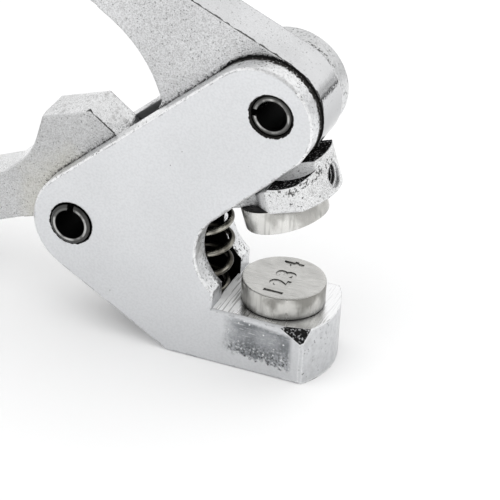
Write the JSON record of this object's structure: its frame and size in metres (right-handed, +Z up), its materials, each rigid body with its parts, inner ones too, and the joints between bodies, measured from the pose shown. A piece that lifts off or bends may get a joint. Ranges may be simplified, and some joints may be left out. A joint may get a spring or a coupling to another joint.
{
  "type": "lead seal press",
  "caption": "Plated hand press for lead-and-wire seals: slotted C frame with round dies, a sprung jaw lever that ends in the lower handle, and a heeled upper handle that drives the jaw.",
  "frame": {"origin": "on the flat foot under the anvil, on the axis of the lower die", "axes": "+X from the handles to the nose, +Y along the pivot pins, +Z up the axis of the lower die; drawn open, standing on the foot and on the belly of the lower handle"},
  "size_m": [0.2049, 0.02, 0.1371],
  "materials": {
    "plated_casting": "nickel plate, brushed on the flats",
    "plated_lever": "nickel plate over a fine sand-cast skin",
    "pin_steel": "rolled spring steel, dull",
    "spring_steel": "drawn wire, oiled",
    "die_steel": "turned tool steel",
    "screw_steel": "black oxide"
  },
  "bodies": {
    "press_frame": {"frame": "plated_casting", "front_pivot_pin": "pin_steel", "rear_pivot_pin": "pin_steel", "return_spring": "spring_steel", "lower_die": "die_steel", "lower_die_screw": "screw_steel"},
    "jaw": {"jaw_lever": "plated_lever", "upper_die": "die_steel", "upper_die_screw": "screw_steel"},
    "top_lever": {"upper_handle": "plated_lever"}
  },
  "joints": [
    {"name": "jaw_hinge", "type": "hinge", "parent": "press_frame", "child": "jaw", "pos_m": [-0.0394, 0, 0.0222], "axis": [0, 1, 0], "range_deg": [0, 18.2], "stiffness_Nm_per_rad": 2.6, "springref_deg": -17.19, "deforming": ["return_spring"]},
    {"name": "handle_hinge", "type": "hinge", "parent": "press_frame", "child": "top_lever", "pos_m": [-0.0013, 0, 0.05395], "axis": [0, -1, 0], "range_deg": [0, 18.2]}
  ],
  "couplings": [
    {"joint": "handle_hinge", "follows": "jaw_hinge", "ratio": 1}
  ]
}
